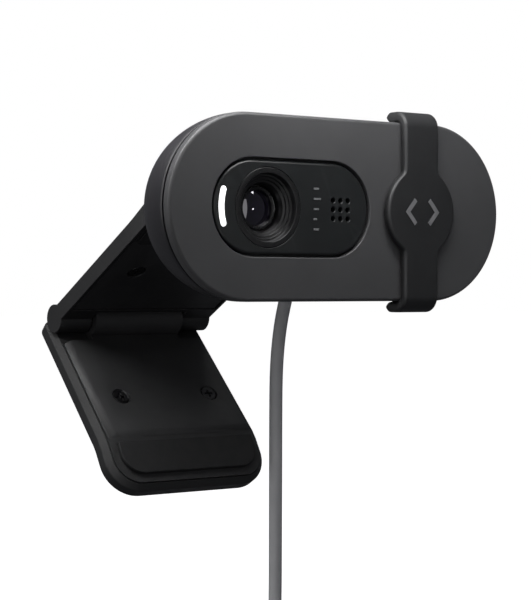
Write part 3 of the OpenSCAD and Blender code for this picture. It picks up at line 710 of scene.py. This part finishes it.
def band_line():
    """Stations of the strap from its upper end over the face to its lower end: Y, Z, half thickness."""
    y_face, z_top = -BAND_GAP - BAND_T / 2 - BAND_LIFT, BAND_TOP - BAND_WRAP_T / 2
    wrap, y_end = BAND_WRAP_T / 2, BAND_BACK - BAND_END_R
    upper = []
    for i in range(7):
        a = math.pi / 2 * i / 6
        upper.append((y_end + BAND_END_R * math.cos(a), z_top, wrap - BAND_END_R * (1 - math.sin(a))))
    for i in range(1, 6):
        upper.append((y_end - (y_end - y_face - BAND_BEND) * i / 6, z_top, wrap))
    for i in range(13):
        a = math.pi / 2 * i / 12
        half = wrap + (BAND_T / 2 - wrap) * i / 12
        y, z = y_face + BAND_BEND - BAND_BEND * math.sin(a), z_top - BAND_BEND + BAND_BEND * math.cos(a)
        upper.append((y, z, half))
    z0 = z_top - BAND_BEND
    count = 56
    front = [(y_face, z0 - 2 * z0 * i / count, BAND_T / 2) for i in range(1, count)]
    return upper + front + [(y, -z, t) for y, z, t in reversed(upper)]


def half_width(y, z):
    """Strap's half width, which swells into the round cover with small fillets."""
    if y > -0.2 or abs(z) > COVER_R:
        disc = 0.0
    else:
        disc = math.sqrt(max(0.0, COVER_R ** 2 - z * z))
    near = max(COVER_FILLET - abs(disc - BAND_HALF), 0) / COVER_FILLET
    return max(disc, BAND_HALF) + near * near * COVER_FILLET / 4


def shutter_band():
    """Strap with rounded edges over the head, its round cover, and a foot inside each end."""
    bm = bmesh.new()
    line, rings, steps = band_line(), [], 5
    for i, (y, z, t) in enumerate(line):
        a, b = Vector(line[max(i - 1, 0)][:2]), Vector(line[min(i + 1, len(line) - 1)][:2])
        along = (b - a).normalized()
        out = Vector((-along.y, along.x))
        half, r = half_width(y, z), min(BAND_EDGE_R, t * 0.9)
        ring = []
        for q, (su, sn) in enumerate(((1, 1), (-1, 1), (-1, -1), (1, -1))):
            for k in range(steps + 1):
                angle = math.pi / 2 * (q + k / steps)
                u = su * (half - r) + r * math.cos(angle)
                n = sn * (t - r) + r * math.sin(angle)
                ring.append(bm.verts.new((SHUTTER_X + u, y + out.x * n, z + out.y * n)))
        rings.append(ring)
    for a, b in zip(rings, rings[1:]):
        strip(bm, a, b)
    bm.faces.new(rings[0])
    bm.faces.new(rings[-1])
    u0, u1 = SHUTTER_X - BAND_HALF + 0.1, SHUTTER_X + BAND_HALF - 0.1
    z0 = HEAD_H / 2 + BAND_GAP - FOOT_DROP
    for v0, v1 in ((z0, z0 + FOOT_H), (-z0 - FOOT_H, -z0)):
        foot = rounded_box(u0, u1, v0, v1, 0.3, 4)
        add_plate(bm, [(foot, edge(FOOT_Y0, FOOT_Y1, 0.05, 0.05, 2))], facing_front)
    return from_bmesh(bm, "shutter_body")


linked("shutter_body", shutter_band(), HEAD, "shutter", BAND, ["shutter_band"], 50)

# ---- strain relief on the back of the head ----


def relief_profile():
    """Collar and tapered sleeve with ring grooves; depths are measured from the lead's first point."""
    outer = [(0, -10.5), (2.0, -10.5), (2.0, -6.5), (2.3, -6.4), (2.6, -6.1), (2.6, -5.3), (2.45, -5.0)]
    for i in range(4):
        y = -4.7 + 1.05 * i
        r = 2.32 - 0.13 * i
        outer += [(r, y), (r, y + 0.62), (r - 0.38, y + 0.72), (r - 0.4, y + 0.98)]
    return outer + [(1.72, -0.45), (1.66, 0), (1.3, 0), (1.26, -1), (0, -1)]


relief_at = Matrix.Translation([c * MM for c in CORD_RUN[0]]) @ Matrix.Scale(MM, 4)
relief_line = rounded(relief_profile(), [0] * 2 + [0.1] * 24 + [0] * 2, 3)
linked("strain_relief_body", lathe("strain_relief_body", relief_line), relief_at, "head", RELIEF,
       ["strain_relief"], 50)

# ---- leg cover: a shallow tray with its tip bent outwards ----

LEG_LEN, LEG_START, LEG_HALF, LEG_FLARE = 37.2, -2.4, 16.4, 0.4
TIP_T, LEG_SEAM, TIP_BEND = 27.2, 2.3, math.radians(14)
BARREL_HALF, CUP_R, KNUCKLE_R = 9.6, 2.75, 3.63
# The tray's wall from its rim to its back: inset and distance out of the leg, and the fillets.
TRAY_WALL = [(1.1, LEG_SEAM), (0.95, LEG_SEAM), (0, 3.3), (0, 5.4), (1.9, 6.9), (4, 6.9)]
TRAY_FILLETS = [0, 0.12, 0.35, 1.2, 1.6, 0]
RECESS = [(1.15, 1.3), (1.15, 4.9)]
RECESS_START, SLOT_END, SLOT_DEPTH = 3.25, 5.6, 3.35


def leg_place(x, t, m):
    """Point of the leg, turned with its tip when it lies past the bend."""
    if t <= TIP_T:
        return (x, t, m)
    along, out = t - TIP_T, m - LEG_SEAM
    return (
        x,
        TIP_T + along * math.cos(TIP_BEND) - out * math.sin(TIP_BEND),
        LEG_SEAM + along * math.sin(TIP_BEND) + out * math.cos(TIP_BEND),
    )


def leg_side(inset, start=LEG_START, hinge_r=1.4, tip_r=6.2):
    """Right half of the leg's outline from the hinge to the tip: X and distance along the leg."""

    def half(t):
        return LEG_HALF + LEG_FLARE * min(1, max(0, t / TIP_T)) - inset

    r0, r1 = max(hinge_r - inset, 0.1), tip_r - inset
    t0, t1 = start + inset, LEG_LEN - inset
    turns = [math.pi / 2 * i / 8 for i in range(9)]
    points = [(half(t0) - r0 + r0 * math.sin(a), t0 + r0 - r0 * math.cos(a)) for a in turns]
    points += [(half(t), t) for t in (4, 8, 12, 16, 20, 24, TIP_T - 1, TIP_T + 1, TIP_T + 2.5)]
    turns = [math.pi / 2 * i / 16 for i in range(17)]
    return points + [(half(t1) - r1 + r1 * math.cos(a), t1 - r1 + r1 * math.sin(a)) for a in turns]


def tray(name, levels, **shape):
    """Closed body through outlines at the levels, each an inset and a distance out of the leg."""
    bm = bmesh.new()
    rings = []
    for inset, m in levels:
        side = leg_side(inset, **shape)
        loop = side + [(-x, t) for x, t in reversed(side)]
        rings.append([bm.verts.new(leg_place(x, t, m)) for x, t in loop])
    for a, b in zip(rings, rings[1:]):
        strip(bm, a, b)
    for ring in (rings[0], rings[-1]):
        for i in range(len(ring) // 2 - 1):
            bm.faces.new((ring[i], ring[i + 1], ring[-2 - i], ring[-1 - i]))
    return from_bmesh(bm, name)


def bar(name, r, half, count=64):
    """Cylinder along X on the pin."""
    bm = bmesh.new()
    rings = []
    for x in (-half, half):
        turns = [2 * math.pi * i / count for i in range(count)]
        rings.append([bm.verts.new((x, r * math.cos(a), r * math.sin(a))) for a in turns])
        bm.faces.new(rings[-1])
    strip(bm, *rings)
    return from_bmesh(bm, name)


def cut(mesh, cutters):
    """The mesh less the cutters."""
    body = bpy.data.objects.new("cut_body", mesh)
    scene.collection.objects.link(body)
    tools = []
    for cutter in cutters:
        tool = bpy.data.objects.new("cut_tool", cutter)
        scene.collection.objects.link(tool)
        tools.append(tool)
        modifier = body.modifiers.new("cut", "BOOLEAN")
        modifier.operation, modifier.solver, modifier.object = "DIFFERENCE", "EXACT", tool
    view = bpy.context.evaluated_depsgraph_get()
    result = bpy.data.meshes.new_from_object(body.evaluated_get(view))
    for obj in [body] + tools:
        bpy.data.objects.remove(obj)
    return result


def leg_cover():
    """The tray, cut out for its inner plate, the pin's ends and the knuckle."""
    body = tray("leg_cover_body", rounded(TRAY_WALL, TRAY_FILLETS, 5))
    recess = tray("recess", RECESS, start=RECESS_START, hinge_r=1.3)
    box = rounded_box(-BARREL_HALF, BARREL_HALF, -1, SLOT_END, 0.3)
    slot = plate("slot", [(box, edge(0, SLOT_DEPTH, 0, 0, 1))], facing_up)
    return cut(body, [recess, bar("cup", CUP_R, 20), bar("knuckle_slot", KNUCKLE_R, BARREL_HALF), slot])


linked("leg_cover_body", leg_cover(), LEG, "leg", CLIP, ["leg_cover"], 30)

# ---- clip and other pieces that keep their CAD shape, with rounded edges ----

# Radius of the edges in millimetres, material and slot.
ROUNDED = {
    "tilt_bracket": (0.35, BRACKET, "bracket_plastic"),
    "arm_cover": (0.35, CLIP, "clip_plastic"),
    "arm_inner_plate": (0.15, CLIP_INNER, "clip_inner_plastic"),
    "arm_grip_pad": (0.15, PAD, "pad_rubber"),
    "arm_screws": (0.05, SCREW_BLACK, "black_screw"),
    "leg_inner_plate": (0.2, CLIP_INNER, "clip_inner_plastic"),
    "leg_pad": (0.15, PAD, "pad_rubber"),
    "leg_screws": (0.05, SCREW_BLACK, "black_screw"),
    "cord_tie": (0.35, STRAP, "tie_strap"),
    "plug_overmould": (0.6, PLUG, "plug_plastic"),
    "plug_shell": (0.08, SHELL_STEEL, "plug_steel"),
    "plug_tongue": (0.12, WHITE, "tongue_plastic"),
}
body_of = {n: b for b, members in frame["record"]["behaviour"]["bodies"].items() for n in members}
for node, (radius, material, slot) in ROUNDED.items():
    shape = rounded_copy(node, radius)
    linked(node + "_body", shape, IDENTITY, body_of[node], material, [node], 40)

# ---- CAD nodes that keep their own mesh ----

KEPT = {
    "inner_lenses": INNER_GLASS, "lens_holder": CHIP, "ir_filter": FILTER_GLASS, "image_sensor": SENSOR,
    "main_board": BOARD, "board_chips": CHIP, "microphone": CAN_BRASS, "mic_gasket": FOAM,
    "status_led": WHITE, "board_screws": STEEL, "panel_marks": MARK, "board_connector": NYLON,
    "inner_lead": SHEATH, "bracket_screws": STEEL, "plug_contacts": GOLD, "slide_mark": MARK,
    "tilt_pin": STEEL, "tilt_washers": WASHER, "leg_pin": STEEL, "leg_washers": WASHER,
}
for node, material in KEPT.items():
    nodes[node].data.materials.clear()
    nodes[node].data.materials.append(material.material)

# ---- floor, backdrop and light ----

FLOOR_HALF, FLOOR_DROP = 6, 0.0005


def floor():
    """White glowing sheet just under the object, seen by the camera alone."""
    bm = bmesh.new()
    bmesh.ops.create_grid(bm, x_segments=1, y_segments=1, size=FLOOR_HALF)
    mesh = from_bmesh(bm, "floor")
    obj = bpy.data.objects.new("floor", mesh)
    scene.collection.objects.link(obj)
    obj.location = (0, 0, cad_box[0][2] - FLOOR_DROP)
    material = bpy.data.materials.new("floor")
    material.use_nodes = True
    bsdf = material.node_tree.nodes["Principled BSDF"]
    bsdf.inputs["Base Color"].default_value = (0.9, 0.9, 0.9, 1)
    bsdf.inputs["Roughness"].default_value = 0.9
    bsdf.inputs["Emission Color"].default_value = (1, 1, 1, 1)
    bsdf.inputs["Emission Strength"].default_value = 0.95
    mesh.materials.append(material)
    obj.visible_diffuse = False
    obj.visible_glossy = False
    obj.visible_transmission = False


def backdrop():
    """White to the camera, and a dim even room to everything else."""
    world = bpy.data.worlds.new("room")
    scene.world = world
    world.use_nodes = True
    tree = world.node_tree
    base = tree.nodes["Background"]
    base.inputs["Color"].default_value = (0.9, 0.92, 1.0, 1)
    base.inputs["Strength"].default_value = 0.085
    white = tree.nodes.new("ShaderNodeBackground")
    white.inputs["Color"].default_value = (1, 1, 1, 1)
    white.inputs["Strength"].default_value = 1.0
    path = tree.nodes.new("ShaderNodeLightPath")
    mix = tree.nodes.new("ShaderNodeMixShader")
    tree.links.new(path.outputs["Is Camera Ray"], mix.inputs["Fac"])
    tree.links.new(base.outputs[0], mix.inputs[1])
    tree.links.new(white.outputs[0], mix.inputs[2])
    tree.links.new(mix.outputs[0], tree.nodes["World Output"].inputs["Surface"])


def softbox(name, at, size, watts, target=(0, 0, -0.01)):
    """Rectangular light, unseen itself, that faces the target."""
    data = bpy.data.lights.new(name, "AREA")
    data.shape = "RECTANGLE"
    data.size, data.size_y = size
    data.energy = watts
    obj = bpy.data.objects.new(name, data)
    scene.collection.objects.link(obj)
    obj.location = at
    obj.rotation_mode = "QUATERNION"
    obj.rotation_quaternion = (Vector(target) - Vector(at)).to_track_quat("-Z", "Y")
    obj.visible_camera = False


floor()
backdrop()
softbox("key", (-0.03, -0.036, 0.05), (0.13, 0.024), 0.125, (0, 0, 0.0))
softbox("top", (0.0, 0.1, 0.7), (0.7, 0.5), 2.5)
softbox("left_strip", (-0.75, 0.3, 0.2), (0.15, 0.7), 2.0)
softbox("left_front", (-0.56, -0.4, 0.1), (0.06, 0.5), 0.8)
softbox("front", (-0.5, -0.6, -0.6), (0.4, 0.4), 1.9, (0, 0, -0.04))
softbox("lens_card", (-0.02, -0.65, 0.0), (0.12, 0.5), 0.3)
softbox("lens_spot", (0.2, -0.61, 0.0), (0.03, 0.03), 0.06)
